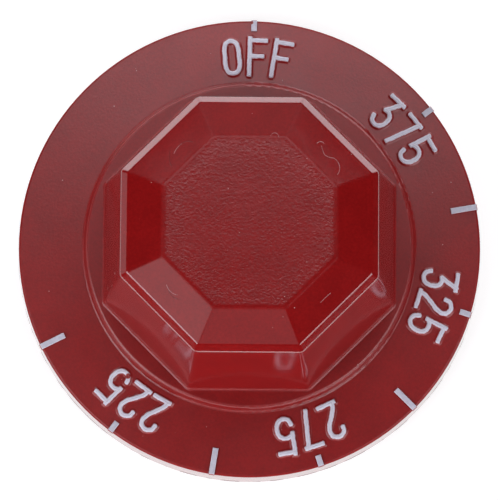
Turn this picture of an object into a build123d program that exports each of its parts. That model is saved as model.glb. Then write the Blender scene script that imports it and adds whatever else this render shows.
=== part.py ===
from build123d import *

import os
from math import atan2, cos, radians, sin, tan

# A skirted oven-dial knob, moulded in one piece, and the spring clip that grips its shaft.
# Millimetres. Z is the shaft axis, zero at the back rim. The OFF mark is at +Y.

# Dial skirt
SKIRT_DIAMETER = 57.15
SKIRT_HEIGHT = 3.4
SKIRT_DRAFT = 5.0
SKIRT_EDGE_ROUND = 0.3
SKIRT_RIM_WALL = 2.6
DIAL_PLATE = 2.2
DIAL_SLOPE = 3.5

# Plinth between the dial and the grip, with a bare ledge outside the grip's corners
PLINTH_DIAMETER = 40.6
PLINTH_STEP = 1.4
PLINTH_DRAFT = 12.0
PLINTH_LEDGE = 0.79
PLINTH_EDGE_ROUND = 0.45
PLINTH_FOOT_ROUND = 0.35

# Octagonal grip, sizes across flats
GRIP_SIDES = 8
GRIP_RIM_FLATS = 30.4
GRIP_WALL_RISE = 16.6
BEVEL_WIDTH = 0.8
BEVEL_RISE = 0.72
TABLE_FLATS = 20.2
FACET_RISE = 1.28
GRIP_CORNER_ROUND = 1.0
RIM_ROUND = 0.3
BEVEL_CORNER_ROUND = 1.0
BEVEL_EDGE_ROUND = 0.5
FACET_ROUND = 3.0
TABLE_ROUND = 1.0
GRIP_FOOT_ROUND = 0.3

# Raised tick bars, at angles clockwise from +Y when seen from the front
TICK_WIDTH = 0.7
TICK_HEIGHT = 0.3
TICK_EDGE_ROUND = 0.1
TICK_DROP = 0.9
TICK_OVERHANG = 0.12
SHORT_TICK_LENGTH = 1.35
LONG_TICK_LENGTH = 3.2
OFF_TICK_ANGLE = 0.76
FIRST_TICK_ANGLE = 52.16
TICK_STEP = 27.36
NUMBERED_TICKS = 8

# Cored back of the grip
GRIP_WALL = 2.7
GRIP_ROOF = 3.0
CORE_CORNER_ROUND = 1.2
CORE_ROOF_CHAMFER = 0.8
HUB_DIAMETER = 13.0
HUB_RECESS = 0.9
RIB_COUNT = 4
RIB_THICKNESS = 1.8
RIB_RECESS = 5.5

# Socket for a D shaft
SHAFT_DIAMETER = 6.35
SHAFT_ACROSS_FLAT = 5.56
SHAFT_CLEARANCE = 0.05
SOCKET_DEPTH = 13.0

# Spring clip beside the flat of the shaft
CLIP_THICKNESS = 0.4
CLIP_WIDTH = 2.8
CLIP_BOW = 0.5
CLIP_GRIP = 0.15
CLIP_LIP = 1.1
CLIP_TOP_GAP = 0.6
CLIP_SIDE_GAP = 0.1
CLIP_SEAT_GAP = 0.02

# How near an edge lies to a plane that it is picked by
ON_PLANE = 0.001

# Heights and radii that follow from the sizes above
SKIRT_RADIUS = SKIRT_DIAMETER / 2
FACE_RADIUS = SKIRT_RADIUS - SKIRT_HEIGHT * tan(radians(SKIRT_DRAFT))
PLINTH_RADIUS = PLINTH_DIAMETER / 2
PLINTH_TOP_RADIUS = PLINTH_RADIUS - PLINTH_STEP * tan(radians(PLINTH_DRAFT))
PLINTH_FOOT_Z = SKIRT_HEIGHT + (FACE_RADIUS - PLINTH_RADIUS) * tan(radians(DIAL_SLOPE))
PLINTH_Z = PLINTH_FOOT_Z + PLINTH_STEP
RIM_Z = PLINTH_Z + GRIP_WALL_RISE
BEVEL_Z = RIM_Z + BEVEL_RISE
TABLE_Z = BEVEL_Z + FACET_RISE
GRIP_BASE_FLATS = 2 * (PLINTH_TOP_RADIUS - PLINTH_LEDGE) * cos(radians(180 / GRIP_SIDES))
GRIP_TAPER = (GRIP_BASE_FLATS - GRIP_RIM_FLATS) / 2 / GRIP_WALL_RISE
GRIP_WALL_ACROSS = GRIP_WALL * (1 + GRIP_TAPER**2) ** 0.5
ROOF_Z = TABLE_Z - GRIP_ROOF
SOCKET_RADIUS = SHAFT_DIAMETER / 2 + SHAFT_CLEARANCE
SOCKET_FLAT_Y = SHAFT_ACROSS_FLAT - SHAFT_DIAMETER / 2 + SHAFT_CLEARANCE
SOCKET_TOP_Z = HUB_RECESS + SOCKET_DEPTH
CLIP_BACK_Y = SOCKET_FLAT_Y - CLIP_GRIP + CLIP_THICKNESS + CLIP_BOW
SLOT_BACK_Y = CLIP_BACK_Y + CLIP_SEAT_GAP


def dial_z(radius):
    """Height of the gently rising dial face at a radius."""
    return SKIRT_HEIGHT + (FACE_RADIUS - radius) * tan(radians(DIAL_SLOPE))


def skirt_wall_radius(z):
    """Radius of the skirt's drafted rim wall at a height."""
    return SKIRT_RADIUS - z * tan(radians(SKIRT_DRAFT))


def grip_apothem(z):
    """Half the width across flats of the grip's side walls at a height."""
    return GRIP_BASE_FLATS / 2 - (z - PLINTH_Z) * GRIP_TAPER


def inset(profile, amount):
    """A rising meridian line of (apothem, height) points moved inwards by an amount."""
    runs = []
    for (a0, z0), (a1, z1) in zip(profile, profile[1:]):
        turn = atan2(z1 - z0, a1 - a0)
        runs.append((a0 - amount * sin(turn), z0 + amount * cos(turn), cos(turn), sin(turn)))

    def at_height(run, z):
        return (run[0] + (z - run[1]) * run[2] / run[3], z)

    points = [at_height(runs[0], profile[0][1] + amount)]
    for (a0, z0, c0, s0), (a1, z1, c1, s1) in zip(runs, runs[1:]):
        step = ((a1 - a0) * s1 - (z1 - z0) * c1) / (c0 * s1 - s0 * c1)
        points.append((a0 + step * c0, z0 + step * s0))
    points.append(at_height(runs[-1], profile[-1][1] - amount))
    return points


def faceted_solid(profile):
    """A solid with flat faces whose polygon sections follow (apothem, height) points."""
    rings = []
    for apothem, z in profile:
        reach = apothem / cos(radians(180 / GRIP_SIDES))
        turns = [radians(360 * (k + 0.5) / GRIP_SIDES) for k in range(GRIP_SIDES)]
        rings.append([Vector(reach * cos(t), reach * sin(t), z) for t in turns])
    outlines = [rings[0], rings[-1]]
    for low, high in zip(rings, rings[1:]):
        for k in range(GRIP_SIDES):
            after = (k + 1) % GRIP_SIDES
            outlines.append([low[k], low[after], high[after], high[k]])
    return Solid(Shell([Face(Wire.make_polygon(points, close=True)) for points in outlines]))


def skirt_and_plinth():
    """The revolved dial: drafted rim wall, rising face and the plinth that the grip stands on."""
    face_edge = (FACE_RADIUS, SKIRT_HEIGHT)
    plinth_foot = (PLINTH_RADIUS, PLINTH_FOOT_Z)
    plinth_edge = (PLINTH_TOP_RADIUS, PLINTH_Z)
    outline = Polyline(
        (0, 0), (SKIRT_RADIUS, 0), face_edge, plinth_foot, plinth_edge, (0, PLINTH_Z), close=True
    )
    section = make_face(outline)
    rounds = [(face_edge, SKIRT_EDGE_ROUND), (plinth_foot, PLINTH_FOOT_ROUND), (plinth_edge, PLINTH_EDGE_ROUND)]
    for corner, radius in rounds:
        section = fillet(section.vertices().sort_by_distance((*corner, 0))[0], radius)
    return revolve(Plane.XZ * section, Axis.Z)


def rounded_form(profile, radius):
    """A faceted solid with all its edges rounded alike."""
    return offset(faceted_solid(inset(profile, radius)), radius, kind=Kind.ARC)


def crown():
    """The shallow facets with very soft ridges and the flat table, carried out past the bevel."""
    run = GRIP_RIM_FLATS / 2 - BEVEL_WIDTH - TABLE_FLATS / 2
    slope = FACET_RISE / run
    reach = GRIP_BASE_FLATS / 2 + 2 * FACET_ROUND
    facet_foot_z = TABLE_Z - (reach - TABLE_FLATS / 2) * slope
    peak_reach = TABLE_FLATS / 4
    peak_z = TABLE_Z + (TABLE_FLATS / 2 - peak_reach) * slope
    facets = rounded_form([(reach, 0), (reach, facet_foot_z), (peak_reach, peak_z)], FACET_ROUND)
    flat_top = facets & Box(4 * reach, 4 * reach, TABLE_Z, align=(Align.CENTER, Align.CENTER, Align.MIN))
    return soft_edge(flat_top, TABLE_Z, TABLE_ROUND)


def bevel():
    """The narrow bevel round the crown, carried out past the walls and up past the table."""
    reach = GRIP_BASE_FLATS / 2 + 2 * BEVEL_CORNER_ROUND
    top_z = TABLE_Z + 4 * BEVEL_CORNER_ROUND
    slope = BEVEL_WIDTH / BEVEL_RISE
    bevel_foot_z = RIM_Z - (reach - GRIP_RIM_FLATS / 2) / slope
    top_reach = GRIP_RIM_FLATS / 2 - (top_z - RIM_Z) * slope
    return rounded_form([(reach, 0), (reach, bevel_foot_z), (top_reach, top_z)], BEVEL_CORNER_ROUND)


def grip_walls():
    """The steep side walls with rounded corners, carried up past the table."""
    walls = faceted_solid([(grip_apothem(z), z) for z in (SKIRT_HEIGHT, TABLE_Z + FACET_RISE)])
    corners = walls.edges().filter_by(lambda edge: SKIRT_HEIGHT + ON_PLANE < edge.center().Z < TABLE_Z)
    return fillet(corners, GRIP_CORNER_ROUND)


def soft_edge(form, z, radius):
    """The same solid with the ring of edges near a height rounded."""
    ring = form.edges().filter_by_position(Axis.Z, z - BEVEL_RISE / 3, z + BEVEL_RISE / 3)
    return fillet(ring, radius)


def grip():
    """The faceted grip: crown, bevel and walls, with a soft inner edge and a crisp rim."""
    top = soft_edge(crown() & bevel(), BEVEL_Z, BEVEL_EDGE_ROUND)
    return soft_edge(top & grip_walls(), RIM_Z, RIM_ROUND)


def outer_form():
    """Dial, plinth and grip as one solid, with the small round where the grip meets its plinth."""
    form = skirt_and_plinth() + grip()
    foot = form.edges().filter_by_position(Axis.Z, PLINTH_Z - ON_PLANE, PLINTH_Z + ON_PLANE)
    return fillet(foot.filter_by(GeomType.CIRCLE, reverse=True), GRIP_FOOT_ROUND)


def core():
    """The hollow in the back: a shallow dish under the dial and an octagonal core inside the grip."""
    dish_depth = SKIRT_HEIGHT - DIAL_PLATE
    dish = extrude(Circle(SKIRT_RADIUS - SKIRT_RIM_WALL), dish_depth)
    profile = [(grip_apothem(z) - GRIP_WALL_ACROSS, z) for z in (0, ROOF_Z)]
    hollow = faceted_solid(profile)
    corners = hollow.edges().filter_by(lambda edge: ON_PLANE < edge.center().Z < ROOF_Z - ON_PLANE)
    hollow = fillet(corners, CORE_CORNER_ROUND)
    roof_edges = hollow.edges().filter_by_position(Axis.Z, ROOF_Z - ON_PLANE, ROOF_Z + ON_PLANE)
    return dish + chamfer(roof_edges, CORE_ROOF_CHAMFER)


def hub_and_ribs(hollow):
    """The hub with its crossed ribs, cut to fit the hollow that they stand in."""
    hub = Pos(0, 0, HUB_RECESS) * extrude(Circle(HUB_DIAMETER / 2), ROOF_Z - HUB_RECESS)
    length = GRIP_BASE_FLATS / 2
    ribs = []
    for k in range(RIB_COUNT):
        blade = Box(length, RIB_THICKNESS, ROOF_Z - RIB_RECESS, align=(Align.MIN, Align.CENTER, Align.MIN))
        ribs.append(Rot(0, 0, 360 * (k + 0.5) / RIB_COUNT) * Pos(0, 0, RIB_RECESS) * blade)
    return (hub + ribs) & hollow


def shaft_socket():
    """The D socket, open at the hub's face, with a slot beside its flat for the spring clip."""
    height = SOCKET_TOP_Z
    flat = Pos(0, SOCKET_FLAT_Y) * Rectangle(4 * SOCKET_RADIUS, SOCKET_RADIUS, align=(Align.CENTER, Align.MIN))
    slot_width = CLIP_WIDTH + 2 * CLIP_SIDE_GAP
    slot = Rectangle(slot_width, SLOT_BACK_Y, align=(Align.CENTER, Align.MIN))
    return extrude(Circle(SOCKET_RADIUS) - flat + slot, height)


def tick_bar(length):
    """One raised bar on the dial at +Y, running out over the rounded edge of the skirt."""
    inner = FACE_RADIUS - length
    outer = FACE_RADIUS + TICK_OVERHANG
    foot_z = SKIRT_HEIGHT - TICK_DROP
    side = Polyline(
        (inner, foot_z),
        (inner, dial_z(inner) + TICK_HEIGHT),
        (FACE_RADIUS, SKIRT_HEIGHT + TICK_HEIGHT),
        (outer, SKIRT_HEIGHT),
        (skirt_wall_radius(foot_z), foot_z),
        close=True,
    )
    bar = extrude(Plane.YZ * make_face(side), TICK_WIDTH / 2, both=True)
    crest = bar.edges().filter_by_position(Axis.Z, SKIRT_HEIGHT + TICK_HEIGHT, TABLE_Z)
    return fillet(crest, TICK_EDGE_ROUND)


def tick_bars():
    """The OFF mark and the numbered marks, every second numbered one long."""
    marks = [(OFF_TICK_ANGLE, SHORT_TICK_LENGTH)]
    for k in range(NUMBERED_TICKS):
        length = LONG_TICK_LENGTH if k % 2 else SHORT_TICK_LENGTH
        marks.append((FIRST_TICK_ANGLE + k * TICK_STEP, length))
    return [Rot(0, 0, -angle) * tick_bar(length) for angle, length in marks]


def knob_body():
    """The whole moulding."""
    hollow = core()
    return outer_form() + tick_bars() - (hollow - hub_and_ribs(hollow)) - shaft_socket()


def shaft_spring_clip():
    """A bowed leaf in the slot of the socket, with a lip bent over the face of the hub."""
    low = HUB_RECESS
    high = SOCKET_TOP_Z - CLIP_TOP_GAP
    middle = (low + high) / 2
    back = CLIP_BACK_Y
    front = back - CLIP_THICKNESS
    leaf = [
        ThreePointArc((back, low), (back - CLIP_BOW, middle), (back, high)),
        Line((back, high), (front, high)),
        ThreePointArc((front, high), (front - CLIP_BOW, middle), (front, low)),
        Polyline(
            (front, low), (front, low - CLIP_THICKNESS), (back + CLIP_LIP, low - CLIP_THICKNESS),
            (back + CLIP_LIP, low), (back, low),
        ),
    ]
    return extrude(Plane.YZ * make_face(leaf), CLIP_WIDTH / 2, both=True)


os.makedirs("parts", exist_ok=True)
for build in (knob_body, shaft_spring_clip):
    export_step(build(), f"parts/{build.__name__}.step")
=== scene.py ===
import math
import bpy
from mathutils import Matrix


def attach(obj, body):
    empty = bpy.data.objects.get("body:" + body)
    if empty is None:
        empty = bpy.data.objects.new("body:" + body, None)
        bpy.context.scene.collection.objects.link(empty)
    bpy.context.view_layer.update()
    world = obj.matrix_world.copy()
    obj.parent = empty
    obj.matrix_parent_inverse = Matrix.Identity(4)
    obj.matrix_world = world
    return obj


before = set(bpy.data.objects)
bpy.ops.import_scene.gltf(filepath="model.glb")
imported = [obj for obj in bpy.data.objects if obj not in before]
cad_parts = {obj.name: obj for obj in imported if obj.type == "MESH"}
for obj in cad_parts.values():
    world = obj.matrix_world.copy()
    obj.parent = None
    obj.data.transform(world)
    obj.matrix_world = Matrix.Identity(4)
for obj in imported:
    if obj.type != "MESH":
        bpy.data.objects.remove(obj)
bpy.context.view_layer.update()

from types import SimpleNamespace

import bpy
import numpy as np
from mathutils import Quaternion, Vector

# An oven-dial knob lying on a pale floor. Lengths are written in millimetres and set in metres.
MM = 0.001

# Dial and grip, as the solids have them
SKIRT_HEIGHT = 3.4
FACE_RADIUS = 28.2775
DIAL_SLOPE = math.tan(math.radians(3.5))
PLINTH_RADIUS = 20.3
PLINTH_Z = 5.288
RIM_Z = 21.888

# Half the width between flats of the table on the grip's top
TABLE_REACH = 10.1

# Raised figures round the dial, at angles clockwise from +Y
OFF_TICK_ANGLE = 0.76
FIRST_TICK_ANGLE = 52.16
TICK_STEP = 27.36
FIGURE_RADIUS = 23.7
FIGURE_PITCH = 7.3

# Form of the figures: strokes with a shallow groove and sloping flanks that end just below the dial
FIGURE_HEIGHT = 0.34
STROKE_HALF = 0.125
STROKE_GROOVE = 0.06
FLANK_IN = 0.04
FLANK_OUT = 0.42
FIGURE_SINK = 0.06
FIGURE_REACH = 0.5
FIGURE_CELL = 0.06
FIGURE_BOX = (1.8, 3.0)
CURVE_STEPS = 8
FAR_AWAY = 1e3

# Uneven edges of the strokes: depth of a wave, and its turns along x and along y
STROKE_WAVES = [(0.012, 5.1, 2.3), (0.009, -3.1, 7.7)]

# Letter strokes about the middle of a figure: (is it a curve, its points), x to the right and y outwards
GLYPHS = {
    "O": [(True, [(0.87, 0.0), (0.87, 1.0), (0.62, 1.78), (0.0, 2.08), (-0.62, 1.78), (-0.87, 1.0),
                  (-0.87, 0.0), (-0.87, -1.0), (-0.62, -1.78), (0.0, -2.08), (0.62, -1.78), (0.87, -1.0),
                  (0.87, 0.0)])],
    "F": [(False, [(-0.85, -2.42), (-0.85, 2.42)]), (False, [(-0.85, 2.06), (1.2, 2.06)]),
          (False, [(-0.85, 0.05), (0.8, 0.05)])],
    "2": [(True, [(-0.86, 1.1), (-0.68, 1.75), (-0.02, 2.08), (0.66, 1.8), (0.86, 1.15), (0.6, 0.42),
                  (0.05, -0.35), (-0.5, -1.1), (-0.78, -1.75), (-0.82, -2.1)]),
          (False, [(-1.16, -2.08), (1.1, -2.08)])],
    "3": [(False, [(-1.05, 2.06), (1.08, 2.06)]), (False, [(0.78, 2.2), (-0.3, 0.12)]),
          (True, [(-0.34, 0.16), (0.2, 0.22), (0.74, -0.2), (0.88, -0.98), (0.64, -1.74), (0.0, -2.08),
                  (-0.62, -1.84), (-0.9, -1.2)])],
    "5": [(False, [(-0.92, 2.06), (1.12, 2.06)]), (False, [(-0.78, 2.42), (-0.9, -0.3)]),
          (True, [(-0.9, -0.1), (-0.4, 0.24), (0.25, 0.26), (0.76, -0.22), (0.88, -0.98), (0.64, -1.74),
                  (0.0, -2.08), (-0.62, -1.84), (-0.92, -1.2)])],
    "7": [(False, [(-1.1, 2.06), (1.12, 2.06)]), (False, [(0.8, 2.2), (-0.22, -2.42)])],
}

# Words on the dial: text, tick angle, and how far its middle letter stands off the tick
LABELS = [
    ("OFF", OFF_TICK_ANGLE, 0.9),
    ("375", FIRST_TICK_ANGLE, 0.0),
    ("325", FIRST_TICK_ANGLE + 2 * TICK_STEP, 0.0),
    ("275", FIRST_TICK_ANGLE + 4 * TICK_STEP, 0.0),
    ("225", FIRST_TICK_ANGLE + 6 * TICK_STEP, 0.0),
]

# Colours of the moulding, its paint and its wear
MOULDING_RED = (0.252, 0.0058, 0.0061, 1.0)
MOULDING_DEEP = (0.194, 0.0042, 0.0046, 1.0)
PAINT_WHITE = (0.62, 0.62, 0.70, 1.0)
# Grey of the paint: painted shade in the strokes' grooves
PAINT_GROOVE_SHADE = (0.45, 0.45, 0.53, 1.0)
SCRATCH_PALE = (0.48, 0.24, 0.24, 1.0)
SCRATCH_DARK = (0.07, 0.002, 0.002, 1.0)
DUST_PALE = (0.72, 0.62, 0.6, 1.0)
# Dark of the dust specks, and also the colour of the painted contact shadow along the skirt's foot
DUST_AND_SHADOW_DARK = (0.045, 0.012, 0.012, 1.0)

# Zones of the grip by height: a zone's mask is 0 at the first number and 1 at the second
CROWN_START = (RIM_Z + 0.3, RIM_Z + 0.8)
GRIP_START = (PLINTH_Z + 0.1, PLINTH_Z + 0.5)
WALL_TOP = (RIM_Z - 0.5, RIM_Z - 0.2)
RIM_LINE_START = (RIM_Z - 0.16, RIM_Z - 0.1)
RIM_LINE_END = (RIM_Z + 0.12, RIM_Z + 0.06)

# Zones of the table by reach from the middle, in the same way
TABLE_START = (TABLE_REACH + 0.4, TABLE_REACH + 0.15)
GRAIN_START = (TABLE_REACH + 0.05, TABLE_REACH - 0.3)
TABLE_EDGE_START = (TABLE_REACH - 0.5, TABLE_REACH - 0.15)
FOLDS_START = (TABLE_REACH - 4.1, TABLE_REACH - 1.1)

# Zones of the skirt by height, and the drop below the dial's cone at the face's rounded edge
SKIRT_WALL_START = (SKIRT_HEIGHT - 0.2, SKIRT_HEIGHT - 0.34)
FACE_EDGE_START = (SKIRT_HEIGHT - 0.32, SKIRT_HEIGHT - 0.24)
FACE_EDGE_DROP = (-0.004, -0.03)
# Painted contact shadow along the foot of the skirt stops at this height
FOOT_SHADOW_TOP = (0.5, 0.3)

# Paint: height above the dial where it starts, the heights of its grey middle, which is painted shade in the
# strokes' grooves, and its radii
PAINT_RISE = (0.195, 0.235)
GROOVE_SHADE_START = (0.255, 0.275)
GROOVE_SHADE_END = (0.325, 0.3)
PAINT_START = (PLINTH_RADIUS + 0.3, PLINTH_RADIUS + 0.5)
PAINT_END = (28.36, 28.24)
PAINT_RAGGED = 0.16
# The painted groove shade is stronger in some patches: the noise's range, and the least share of grey
GROOVE_SHADE_PATCH_RANGE = (0.3, 0.75)
GROOVE_SHADE_LEAST = 0.5

# Spots where the paint has come off: place seen from above, and radius
BARE_SPOTS = [((-14.68, -16.12), 0.34), ((0.0, 28.0), 0.26)]
BARE_EDGE = 0.05
BARE_RAGGED = 0.3

# Scratches on the grip's facets: arcs through three points, seen from above
PALE_SCRATCHES = [
    [(-8.94, 8.12), (-8.6, 8.75), (-8.04, 9.28)],
    [(7.86, 9.45), (8.25, 9.68), (8.67, 9.49)],
    [(8.38, 9.18), (8.52, 8.6), (8.74, 8.08)],
    [(8.74, 8.08), (9.26, 7.8), (9.8, 7.71)],
    [(9.8, 7.71), (10.5, 6.8), (10.46, 6.06)],
    [(2.4, 10.16), (2.92, 10.55), (3.29, 10.27)],
    [(8.36, -9.44), (8.94, -8.85), (9.46, -8.37)],
    [(-9.67, -7.48), (-9.19, -8.29), (-8.6, -8.64)],
]
DARK_SCRATCHES = [
    [(-9.22, 6.47), (-9.48, 7.47), (-9.44, 8.33)],
    [(-8.37, 9.04), (-7.62, 9.52), (-7.26, 9.56)],
    [(-9.49, -7.74), (-9.04, -8.75), (-8.15, -9.2)],
]
SCRATCH_HALF = 0.034
SCRATCH_GAPS = (0.3, 0.45)
PALE_STRENGTH = 0.6
DARK_STRENGTH = 0.7

# Pale chips by one of the grip's left corners: places
CHIPS = [(-15.9, -5.3, 17.0), (-16.5, -5.7, 13.0), (-16.3, -6.4, 14.0), (-17.0, -6.1, 9.8)]
CHIP_RADIUS = 0.16
CHIP_RAGGED = 0.5

# Mottled colour, painted contact shadow in patches along the foot of the skirt, and dust as spacing, radius
# and share of places
MOTTLE_RANGE = (0.34, 0.66)
FINE_SHARE = 0.6
FOOT_SHADOW_RANGE = (0.47, 0.55)
FOOT_SHADOW_STRENGTH = 0.7
DARK_DUST = (1.7, 0.06, 0.22)
PALE_DUST = (1.3, 0.055, 0.28)

# Noises: size in millimetres, detail, roughness, distortion
FINE_NOISE = (0.3, 3.0, 0.6)
MOTTLE_NOISE = (4.0, 4.0, 0.6)
# Noise for the patches of painted shade in the strokes' grooves
GROOVE_SHADE_NOISE = (0.5, 3.0)
# Noise that breaks the painted contact shadow at the foot into patches
FOOT_SHADOW_NOISE = (2.0, 3.0)
SMEAR_NOISE = (7.0, 5.0, 0.65)
RING_NOISE = (0.3, 2.0)
GRAIN_NOISE = (0.28, 3.0, 0.6)
WRINKLE_NOISE = (0.3, 2.0, 0.5, 0.4)
FOLD_NOISE = (0.8, 3.0, 0.6)
WAVE_NOISE = (1.7, 2.0)
STEEL_NOISE = (0.12, 3.0, 0.6)

# Stretch of the noises: round the rings, and along x, y and z
RING_STRETCH = 0.03
WRINKLE_STRETCH = (0.9, 1.1, 1.0)
WAVE_STRETCH = (0.5, 0.5, 1.5)
STEEL_STRETCH = (1.0, 1.0, 0.06)

# Gloss of the moulding
DIAL_ROUGHNESS = 0.34
TABLE_ROUGHNESS = 0.27
GRIP_ROUGHNESS = 0.13
PAINT_ROUGHNESS = 0.5
SATIN_SMEAR = 0.12
GRIP_SMEAR = 0.06
MOULDING_IOR = 1.6
FACE_MIRROR = 0.5
WALL_MIRROR = 0.33
EDGE_MIRROR = 0.12
TABLE_EDGE_SHARE = 0.75
COAT_IOR = 1.75
COAT_ROUGHNESS = 0.06
RIM_COAT = 0.6

# Relief depths of the moulding; the wrinkles have one at the table's middle and one near its edge
RING_DEPTH = 0.004
GRAIN_DEPTH = 0.015
WRINKLE_DEPTHS = (0.03, 0.036)
FOLD_DEPTH = 0.08
WAVE_DEPTH = 0.014
SCRATCH_DEPTH = 0.01

# Spring steel
STEEL_DARK = (0.42, 0.42, 0.43, 1.0)
STEEL_BRIGHT = (0.6, 0.6, 0.61, 1.0)
STEEL_ROUGHNESS = 0.2
STEEL_ROUGHER = 0.18
STEEL_DEPTH = 0.004

# Floor, with its width in metres
FLOOR_SIZE = 6.0
FLOOR_GLOW = 0.78
FLOOR_SHOWN = (0.33, 0.33, 0.33, 1.0)
FLOOR_PAPER = (0.8, 0.8, 0.8, 1.0)

# Soft lights: name, middle, point faced, width and height in millimetres, brightness
LIGHTS = [
    ("overhead_near_softbox", (0, 60, 260), (0, 60, 0), 260, 50, 0.31),
    ("overhead_far_softbox", (0, 125, 260), (0, 125, 0), 260, 80, 2.92),
    ("back_panel", (0, 170, 37), (0, 0, 37), 420, 70, 3.2),
    ("back_high_softbox", (0, 270, 300), (0, 0, 20), 320, 120, 0.34),
    ("front_left_softbox", (-150, -105, 300), (0, 0, 20), 130, 130, 1.1),
    ("front_high_softbox", (0, -160, 300), (0, 0, 20), 120, 110, 0.48),
    ("left_softbox", (-240, -150, 240), (0, 0, 20), 260, 160, 5.4),
    ("right_softbox", (240, -150, 240), (0, 0, 20), 260, 160, 4.5),
    ("left_low_softbox", (-330, 20, 70), (0, 0, 20), 160, 90, 0.87),
    ("front_low_softbox", (0, -330, 27), (0, 0, 27), 420, 52, 4.6),
    ("front_left_low_softbox", (-240, -240, 30), (0, 0, 30), 240, 58, 5.2),
    ("front_right_low_softbox", (240, -240, 30), (0, 0, 30), 240, 58, 4.9),
]
LIGHT_TINT = (1.0, 0.975, 1.03)
WORLD_COLOUR = (1.0, 1.0, 1.0, 1.0)
WORLD_LEVEL = 0.005

# Camera, with its clipping distances in metres
CAMERA_DISTANCE = 450.0
CAMERA_TILT = 8.4
CAMERA_ROLL = 0.44
CAMERA_AIM = (0.067, -0.374, 3.4)
CAMERA_CLIP = (0.05, 20.0)
FIELD_WIDTH = 61.3
SENSOR = 36.0


def dial_z(radius):
    """Height of the dial face at a radius."""
    return SKIRT_HEIGHT + (FACE_RADIUS - radius) * DIAL_SLOPE


def smooth_line(points):
    """Points along a smooth curve through the given points."""
    knots = [np.array(p) for p in points]
    closed = points[0] == points[-1]
    first = knots[-2] if closed else 2 * knots[0] - knots[1]
    last = knots[1] if closed else 2 * knots[-1] - knots[-2]
    knots = [first, *knots, last]
    line = []
    for k in range(1, len(knots) - 2):
        a, b, c, d = knots[k - 1:k + 3]
        for step in range(CURVE_STEPS):
            t = step / CURVE_STEPS
            line.append(0.5 * (2 * b + (c - a) * t + (2 * a - 5 * b + 4 * c - d) * t**2
                               + (3 * b - a - 3 * c + d) * t**3))
    line.append(knots[-2])
    return line


def stroke_field(x, y, line):
    """Distance outside one stroke with square ends; it is negative inside the stroke."""
    field = np.full(x.shape, FAR_AWAY)
    for k, (start, end) in enumerate(zip(line, line[1:])):
        start, end = np.array(start), np.array(end)
        length = np.linalg.norm(end - start)
        along = (end - start) / length
        s = (x - start[0]) * along[0] + (y - start[1]) * along[1]
        side = np.abs((y - start[1]) * along[0] - (x - start[0]) * along[1])
        beyond = np.maximum(-s, s - length)
        round_end = np.hypot(np.maximum(beyond, 0), side) - STROKE_HALF
        across = side - STROKE_HALF
        corner = np.hypot(np.maximum(beyond, 0), np.maximum(across, 0))
        square_end = corner + np.minimum(np.maximum(beyond, across), 0)
        at_end = ((k == 0) & (s < 0)) | ((k == len(line) - 2) & (s > length))
        field = np.minimum(field, np.where(at_end, square_end, round_end))
    return field


def figure_grid(glyph):
    """A grid over one figure: x, y, the raised height at each point, and which points the figure reaches."""
    half_x, half_y = FIGURE_BOX
    columns = np.arange(-half_x, half_x + FIGURE_CELL / 2, FIGURE_CELL)
    rows = np.arange(-half_y, half_y + FIGURE_CELL / 2, FIGURE_CELL)
    x, y = np.meshgrid(columns, rows)
    field = np.full(x.shape, FAR_AWAY)
    for curved, points in GLYPHS[glyph]:
        field = np.minimum(field, stroke_field(x, y, smooth_line(points) if curved else points))
    field += sum(depth * np.sin(turn_x * x + turn_y * y) for depth, turn_x, turn_y in STROKE_WAVES)
    rise = np.clip((FLANK_OUT - field) / (FLANK_IN + FLANK_OUT), 0, 1)
    height = FIGURE_HEIGHT * rise * rise * (3 - 2 * rise)
    height -= STROKE_GROOVE * np.clip(-field / STROKE_HALF, 0, 1) ** 2
    height -= FIGURE_SINK * np.clip((field - FLANK_OUT) / (FIGURE_REACH - FLANK_OUT), 0, 1)
    return x, y, height, field < FIGURE_REACH


def place_on_dial(x, y, angle):
    """Dial coordinates of a figure's own x and y, for a figure at an angle clockwise from +Y."""
    turn = math.radians(angle)
    out = FIGURE_RADIUS + y
    return out * math.sin(turn) + x * math.cos(turn), out * math.cos(turn) - x * math.sin(turn)


def figure_mesh(text, middle):
    """The mesh of one word, each letter turned to face outwards on the dial cone."""
    points, faces = [], []
    for k, glyph in enumerate(text):
        angle = middle + (k - (len(text) - 1) / 2) * FIGURE_PITCH
        x, y, height, near = figure_grid(glyph)
        dial_x, dial_y = place_on_dial(x, y, angle)
        z = dial_z(np.hypot(dial_x, dial_y)) + height
        cells = near[:-1, :-1] | near[1:, :-1] | near[:-1, 1:] | near[1:, 1:]
        used = np.zeros(x.shape, bool)
        for shift_row in (slice(None, -1), slice(1, None)):
            for shift_column in (slice(None, -1), slice(1, None)):
                used[shift_row, shift_column] |= cells
        number = np.full(x.shape, -1)
        number[used] = np.arange(used.sum()) + len(points)
        points.extend(zip(dial_x[used] * MM, dial_y[used] * MM, z[used] * MM))
        corners = [number[:-1, :-1], number[:-1, 1:], number[1:, 1:], number[1:, :-1]]
        faces.extend(zip(*[corner[cells].tolist() for corner in corners]))
    mesh = bpy.data.meshes.new(f"figure_{text}")
    mesh.from_pydata([tuple(map(float, p)) for p in points], [], faces)
    mesh.polygons.foreach_set("use_smooth", [True] * len(faces))
    return mesh


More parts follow.
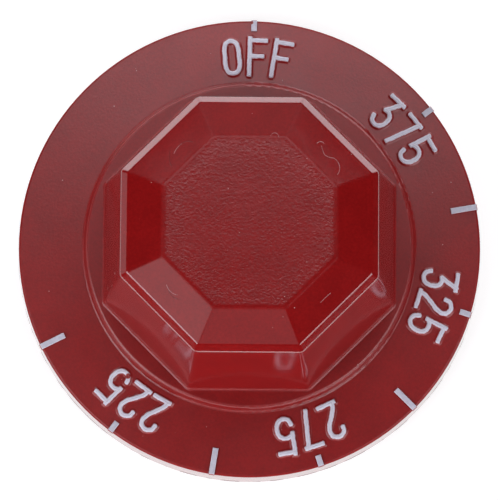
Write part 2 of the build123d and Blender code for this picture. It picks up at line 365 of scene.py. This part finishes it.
class Wiring:
    """Short calls for wiring a node tree. An input is a number, a tuple or an output socket."""

    def __init__(self, tree):
        self.tree = tree

    def put(self, socket, value):
        """Link an output to an input, or set the input's value."""
        if isinstance(value, bpy.types.NodeSocket):
            self.tree.links.new(value, socket)
        elif value is not None:
            socket.default_value = value

    def node(self, kind, inputs=None, **settings):
        """A node with its settings and inputs."""
        made = self.tree.nodes.new(kind)
        for name, value in settings.items():
            setattr(made, name, value)
        for name, value in (inputs or {}).items():
            self.put(made.inputs[name], value)
        return made

    def math(self, operation, a, b=None, c=None):
        """One arithmetic step on up to three numbers."""
        return self.node("ShaderNodeMath", {0: a, 1: b, 2: c}, operation=operation).outputs[0]

    def times(self, a, b):
        """The product of two numbers."""
        return self.math("MULTIPLY", a, b)

    def most(self, a, b):
        """The larger of two numbers."""
        return self.math("MAXIMUM", a, b)

    def scaled(self, vector, factors):
        """A vector with each of its parts multiplied."""
        return self.node("ShaderNodeVectorMath", {0: vector, 1: factors}, operation="MULTIPLY").outputs[0]

    def distance(self, vector, point):
        """Distance from a point that is given in millimetres."""
        spot = tuple(value * MM for value in point)
        return self.node("ShaderNodeVectorMath", {0: vector, 1: spot}, operation="DISTANCE").outputs["Value"]

    def ramp(self, value, low, high):
        """0 at low, 1 at high, smooth between."""
        made = self.node("ShaderNodeMapRange", {"Value": value, "From Min": low, "From Max": high},
                         interpolation_type="SMOOTHSTEP")
        return made.outputs["Result"]

    def ramp_mm(self, length, low, high):
        """A ramp over a length, with its ends in millimetres."""
        return self.ramp(length, low * MM, high * MM)

    def mix(self, share, a, b):
        """A number between two numbers."""
        made = self.node("ShaderNodeMix", {0: share}, data_type="FLOAT")
        self.put(made.inputs[2], a)
        self.put(made.inputs[3], b)
        return made.outputs[0]

    def blend(self, share, a, b):
        """A colour between two colours."""
        made = self.node("ShaderNodeMix", {0: share}, data_type="RGBA")
        self.put(made.inputs[6], a)
        self.put(made.inputs[7], b)
        return made.outputs[2]

    def noise(self, vector, size, detail=2.0, rough=0.5, distortion=0.0):
        """Noise from 0 to 1 with features about as large as the given size in millimetres."""
        made = self.node("ShaderNodeTexNoise", {"Vector": vector, "Scale": 1 / (size * MM), "Detail": detail,
                                                "Roughness": rough, "Distortion": distortion})
        return made.outputs["Fac"]

    def specks(self, vector, spacing, radius, share):
        """Scattered dots, in the given share of the cells of a pattern."""
        made = self.node("ShaderNodeTexVoronoi", {"Vector": vector, "Scale": 1 / (spacing * MM)})
        dot = self.ramp(made.outputs["Distance"], radius / spacing, 0.5 * radius / spacing)
        red = self.node("ShaderNodeSeparateColor", {0: made.outputs["Color"]}).outputs[0]
        return self.times(dot, self.math("LESS_THAN", red, share))


def circle_through(a, b, c):
    """Middle and radius of the circle through three points."""
    (ax, ay), (bx, by), (cx, cy) = a, b, c
    turn = 2 * (ax * (by - cy) + bx * (cy - ay) + cx * (ay - by))
    squares = [ax**2 + ay**2, bx**2 + by**2, cx**2 + cy**2]
    ux = (squares[0] * (by - cy) + squares[1] * (cy - ay) + squares[2] * (ay - by)) / turn
    uy = (squares[0] * (cx - bx) + squares[1] * (ax - cx) + squares[2] * (bx - ax)) / turn
    return (ux, uy), math.hypot(ax - ux, ay - uy)


def scratch_mask(w, flat, arcs):
    """Where the arcs run, 1 on an arc and 0 away from it."""
    mask = 0.0
    for start, middle, end in arcs:
        centre, radius = circle_through(start, middle, end)
        reach = max(math.dist(start, middle), math.dist(middle, end))
        on_line = w.math("COMPARE", w.distance(flat, (*centre, 0.0)), radius * MM, SCRATCH_HALF * MM)
        nearby = w.math("LESS_THAN", w.distance(flat, (*middle, 0.0)), reach * MM)
        mask = w.most(mask, w.times(on_line, nearby))
    return mask


def new_material(name):
    """An empty material with its wiring and output."""
    made = bpy.data.materials.new(name)
    made.use_nodes = True
    made.node_tree.nodes.clear()
    wires = Wiring(made.node_tree)
    return made, wires, wires.node("ShaderNodeOutputMaterial")


def octagon_reach(w, x, y):
    """How far out a place is, measured square to the nearest side of the grip's octagon."""
    wide = w.math("ABSOLUTE", x)
    deep = w.math("ABSOLUTE", y)
    across_corners = w.times(w.math("ADD", wide, deep), math.sqrt(0.5))
    return w.most(w.most(wide, deep), across_corners)


def moulding_zones(w):
    """The coordinates that the moulding's finish uses, and a mask for each of its zones."""
    zone = SimpleNamespace(place=w.node("ShaderNodeTexCoord").outputs["Object"])
    zone.x, zone.y, zone.z = w.node("ShaderNodeSeparateXYZ", {0: zone.place}).outputs
    zone.flat = w.node("ShaderNodeCombineXYZ", {0: zone.x, 1: zone.y}).outputs[0]
    zone.radius = w.node("ShaderNodeVectorMath", {0: zone.flat}, operation="LENGTH").outputs["Value"]
    zone.octagon = octagon_reach(w, zone.x, zone.y)
    cone = w.math("MULTIPLY_ADD", zone.radius, -DIAL_SLOPE, dial_z(0) * MM)
    zone.above_dial = w.math("SUBTRACT", zone.z, cone)
    zone.fine = w.noise(zone.place, *FINE_NOISE)
    zone.uneven = w.math("SUBTRACT", zone.fine, 0.5)

    # Grip: walls, bright line along the rim, crown, and the grained table inside its smooth border
    zone.grip = w.ramp_mm(zone.z, *GRIP_START)
    zone.walls = w.math("SUBTRACT", zone.grip, w.times(zone.grip, w.ramp_mm(zone.z, *WALL_TOP)))
    zone.rim_line = w.times(w.ramp_mm(zone.z, *RIM_LINE_START), w.ramp_mm(zone.z, *RIM_LINE_END))
    zone.crown = w.ramp_mm(zone.z, *CROWN_START)
    zone.table = w.times(w.ramp_mm(zone.octagon, *TABLE_START), zone.crown)
    zone.grained = w.times(w.ramp_mm(zone.octagon, *GRAIN_START), zone.crown)
    zone.table_edge = w.times(w.ramp_mm(zone.octagon, *TABLE_EDGE_START), zone.table)

    # Skirt: its wall, the rounded edge of the dial face, and painted contact shadow in patches along the foot
    zone.skirt_wall = w.ramp_mm(zone.z, *SKIRT_WALL_START)
    zone.face_edge = w.times(w.ramp_mm(zone.above_dial, *FACE_EDGE_DROP), w.ramp_mm(zone.z, *FACE_EDGE_START))
    patches = w.ramp(w.noise(zone.place, *FOOT_SHADOW_NOISE), *FOOT_SHADOW_RANGE)
    zone.grime = w.times(w.ramp_mm(zone.z, *FOOT_SHADOW_TOP), patches)
    zone.glossy = w.most(w.math("SUBTRACT", zone.grip, zone.table), zone.skirt_wall)

    # Scratches on the crown, broken by the fine noise
    on_crown = w.times(zone.crown, w.ramp(zone.fine, *SCRATCH_GAPS))
    zone.pale_scratch = w.times(scratch_mask(w, zone.flat, PALE_SCRATCHES), on_crown)
    zone.dark_scratch = w.times(scratch_mask(w, zone.flat, DARK_SCRATCHES), on_crown)
    return zone


def paint_layer(w, zone):
    """Where white paint lies, on all that stands proud of the dial with ragged edges, and its colour, greyed
    by painted shade in the middle of the strokes.
    """
    ragged = w.math("MULTIPLY_ADD", zone.uneven, PAINT_RAGGED * MM, zone.above_dial)
    paint = w.ramp_mm(ragged, *PAINT_RISE)
    paint = w.times(paint, w.ramp_mm(zone.radius, *PAINT_START))
    paint = w.times(paint, w.ramp_mm(zone.radius, *PAINT_END))
    for spot, spot_radius in BARE_SPOTS:
        away = w.math("MULTIPLY_ADD", zone.uneven, BARE_RAGGED * MM, w.distance(zone.flat, (*spot, 0.0)))
        paint = w.times(paint, w.ramp_mm(away, spot_radius - BARE_EDGE, spot_radius + BARE_EDGE))
    # Painted shade: the paint greys in the strokes' grooves, more in some patches than in others
    shade_patches = w.ramp(w.noise(zone.place, *GROOVE_SHADE_NOISE), *GROOVE_SHADE_PATCH_RANGE)
    middle = w.times(w.ramp_mm(zone.above_dial, *GROOVE_SHADE_END), w.ramp_mm(zone.above_dial, *GROOVE_SHADE_START))
    return paint, w.blend(w.times(middle, w.mix(shade_patches, GROOVE_SHADE_LEAST, 1.0)), PAINT_WHITE, PAINT_GROOVE_SHADE)


def red_layer(w, zone):
    """The moulding's colour: a mottled red with scratches, dust and chips, and painted contact shadow along
    the foot of the skirt.
    """
    patches = w.noise(zone.place, *MOTTLE_NOISE)
    mottle = w.math("MULTIPLY_ADD", zone.fine, FINE_SHARE, w.times(patches, 1 - FINE_SHARE))
    red = w.blend(w.ramp(mottle, *MOTTLE_RANGE), MOULDING_DEEP, MOULDING_RED)
    red = w.blend(w.times(zone.dark_scratch, DARK_STRENGTH), red, SCRATCH_DARK)
    red = w.blend(w.times(zone.pale_scratch, PALE_STRENGTH), red, SCRATCH_PALE)
    # Painted contact shadow: darker in patches along the foot of the skirt
    red = w.blend(w.times(zone.grime, FOOT_SHADOW_STRENGTH), red, DUST_AND_SHADOW_DARK)
    red = w.blend(w.specks(zone.place, *DARK_DUST), red, DUST_AND_SHADOW_DARK)
    red = w.blend(w.specks(zone.place, *PALE_DUST), red, DUST_PALE)
    for chip in CHIPS:
        away = w.math("MULTIPLY_ADD", zone.uneven, CHIP_RAGGED * MM, w.distance(zone.place, chip))
        red = w.blend(w.ramp_mm(away, CHIP_RADIUS, 0.5 * CHIP_RADIUS), red, DUST_PALE)
    return red


def gloss_layer(w, zone, dull):
    """Roughness, coat and mirror level: glossy grip and skirt wall, satin dial, and dull paint and painted
    contact shadow.
    """
    smear = w.math("SUBTRACT", w.noise(zone.place, *SMEAR_NOISE), 0.5)
    satin = w.math("MULTIPLY_ADD", smear, SATIN_SMEAR, w.mix(zone.table, DIAL_ROUGHNESS, TABLE_ROUGHNESS))
    sheen = w.math("MULTIPLY_ADD", smear, GRIP_SMEAR, GRIP_ROUGHNESS)
    rough = w.mix(dull, w.mix(zone.glossy, satin, sheen), PAINT_ROUGHNESS)
    coat = w.times(zone.skirt_wall, w.math("SUBTRACT", 1.0, dull))
    coat = w.most(coat, w.times(zone.rim_line, RIM_COAT))
    edges = w.most(zone.face_edge, w.times(zone.table_edge, TABLE_EDGE_SHARE))
    mirror = w.mix(zone.walls, w.mix(edges, FACE_MIRROR, EDGE_MIRROR), WALL_MIRROR)
    return rough, coat, mirror


def relief_layer(w, zone):
    """Relief in millimetres: polishing rings on the dial, wrinkles on the table, faint waves in the walls."""
    ring_place = w.node("ShaderNodeCombineXYZ", {
        0: zone.radius, 1: w.times(zone.x, RING_STRETCH), 2: w.times(zone.y, RING_STRETCH),
    }).outputs[0]
    grain = w.times(w.noise(zone.place, *GRAIN_NOISE), GRAIN_DEPTH)
    satin = w.math("MULTIPLY_ADD", w.noise(ring_place, *RING_NOISE), RING_DEPTH, grain)

    stretched = w.scaled(zone.place, WRINKLE_STRETCH)
    near_edge = w.ramp_mm(zone.octagon, *FOLDS_START)
    fold = w.math("ABSOLUTE", w.math("SUBTRACT", w.noise(stretched, *FOLD_NOISE), 0.5))
    folds = w.times(w.times(fold, near_edge), FOLD_DEPTH)
    wrinkle = w.noise(stretched, *WRINKLE_NOISE)
    table = w.math("MULTIPLY_ADD", wrinkle, w.mix(near_edge, *WRINKLE_DEPTHS), folds)

    waves = w.times(w.noise(w.scaled(zone.place, WAVE_STRETCH), *WAVE_NOISE), WAVE_DEPTH)
    relief = w.mix(zone.grained, w.mix(zone.glossy, satin, waves), table)
    scratched = w.most(zone.pale_scratch, zone.dark_scratch)
    return w.math("MULTIPLY_ADD", scratched, -SCRATCH_DEPTH, relief)


def red_moulding_material():
    """Red moulding: glossy grip, satin dial, grained table, white paint on the raised marks."""
    made, w, output = new_material("red_moulding_finish")
    zone = moulding_zones(w)
    paint, paint_tone = paint_layer(w, zone)
    # The paint and the painted contact shadow at the skirt's foot are dull
    rough, coat, mirror = gloss_layer(w, zone, w.most(paint, zone.grime))
    bump = w.node("ShaderNodeBump", {"Height": relief_layer(w, zone), "Distance": MM, "Strength": 1.0})
    shader = w.node("ShaderNodeBsdfPrincipled", {
        "Base Color": w.blend(paint, red_layer(w, zone), paint_tone),
        "Roughness": rough,
        "IOR": MOULDING_IOR,
        "Specular IOR Level": mirror,
        "Normal": bump.outputs[0],
        "Coat Weight": coat,
        "Coat Roughness": COAT_ROUGHNESS,
        "Coat IOR": COAT_IOR,
        "Coat Normal": bump.outputs[0],
    })
    w.put(output.inputs["Surface"], shader.outputs[0])
    return made


def spring_steel_material():
    """Bright rolled spring steel with fine lines along the leaf."""
    made, w, output = new_material("spring_steel_finish")
    place = w.node("ShaderNodeTexCoord").outputs["Object"]
    lines = w.noise(w.scaled(place, STEEL_STRETCH), *STEEL_NOISE)
    bump = w.node("ShaderNodeBump", {"Height": lines, "Distance": STEEL_DEPTH * MM})
    shader = w.node("ShaderNodeBsdfPrincipled", {
        "Base Color": w.blend(lines, STEEL_DARK, STEEL_BRIGHT),
        "Metallic": 1.0,
        "Roughness": w.math("MULTIPLY_ADD", lines, STEEL_ROUGHER, STEEL_ROUGHNESS),
        "Normal": bump.outputs[0],
    })
    w.put(output.inputs["Surface"], shader.outputs[0])
    return made


def floor_material():
    """White paper: a white ground for the eye and for reflections, with the knob's soft shadow kept."""
    made, w, output = new_material("floor_paper")
    path = w.node("ShaderNodeLightPath")
    mirrored = w.most(path.outputs["Is Glossy Ray"], path.outputs["Is Transmission Ray"])
    seen = w.most(path.outputs["Is Camera Ray"], mirrored)
    shown = w.node("ShaderNodeAddShader")
    w.put(shown.inputs[0], w.node("ShaderNodeBsdfDiffuse", {"Color": FLOOR_SHOWN}).outputs[0])
    w.put(shown.inputs[1], w.node("ShaderNodeEmission", {"Strength": FLOOR_GLOW}).outputs[0])
    paper = w.node("ShaderNodeBsdfDiffuse", {"Color": FLOOR_PAPER})
    pick = w.node("ShaderNodeMixShader", {0: seen})
    w.put(pick.inputs[1], paper.outputs[0])
    w.put(pick.inputs[2], shown.outputs[0])
    w.put(output.inputs["Surface"], pick.outputs[0])
    return made


def add_object(name, data):
    """An object for some data, in the scene."""
    made = bpy.data.objects.new(name, data)
    bpy.context.scene.collection.objects.link(made)
    return made


def add_floor():
    """The pale floor that the knob lies on."""
    half = FLOOR_SIZE / 2
    mesh = bpy.data.meshes.new("floor")
    corners = [(-half, -half, 0), (half, -half, 0), (half, half, 0), (-half, half, 0)]
    mesh.from_pydata(corners, [], [(0, 1, 2, 3)])
    mesh.materials.append(floor_material())
    made = add_object("floor", mesh)


def add_light(name, middle, faced, width, height, brightness):
    """One rectangular soft light whose face is as bright as the number says."""
    data = bpy.data.lights.new(name, "AREA")
    data.shape = "RECTANGLE"
    data.size = width * MM
    data.size_y = height * MM
    data.energy = brightness * math.pi * data.size * data.size_y
    data.color = LIGHT_TINT
    made = add_object(name, data)
    made.location = Vector(middle) * MM
    made.rotation_mode = "QUATERNION"
    made.rotation_quaternion = (Vector(faced) - Vector(middle)).to_track_quat("-Z", "Y")
    made.visible_camera = False


def add_world():
    """A dim even surround."""
    world = bpy.data.worlds.new("studio")
    world.use_nodes = True
    background = world.node_tree.nodes["Background"]
    background.inputs["Color"].default_value = WORLD_COLOUR
    background.inputs["Strength"].default_value = WORLD_LEVEL
    bpy.context.scene.world = world


def add_camera():
    """The camera above the knob, leaning a little to the front."""
    tilt = math.radians(CAMERA_TILT)
    back = Vector((0, -math.sin(tilt), math.cos(tilt)))
    data = bpy.data.cameras.new("camera")
    data.sensor_width = SENSOR
    data.lens = SENSOR * CAMERA_DISTANCE / FIELD_WIDTH
    data.clip_start, data.clip_end = CAMERA_CLIP
    made = add_object("camera", data)
    made.location = (Vector(CAMERA_AIM) + back * CAMERA_DISTANCE) * MM
    made.rotation_mode = "QUATERNION"
    roll = Quaternion((0, 0, 1), math.radians(CAMERA_ROLL))
    made.rotation_quaternion = (-back).to_track_quat("-Z", "Y") @ roll
    bpy.context.scene.camera = made


def dress_node(name, material):
    """A finish for one of the solids."""
    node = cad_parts[name]
    node.data.materials.clear()
    node.data.materials.append(material)


def add_figures(material):
    """The raised words round the dial."""
    for text, tick_angle, lead in LABELS:
        mesh = figure_mesh(text, tick_angle + lead)
        mesh.materials.append(material)
        piece = add_object(f"figure_{text}", mesh)
        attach(piece, "root")


bpy.context.scene.view_settings.view_transform = "Standard"
moulding = red_moulding_material()
dress_node("knob_body", moulding)
dress_node("shaft_spring_clip", spring_steel_material())
add_figures(moulding)
add_floor()
add_world()
for light in LIGHTS:
    add_light(*light)
add_camera()
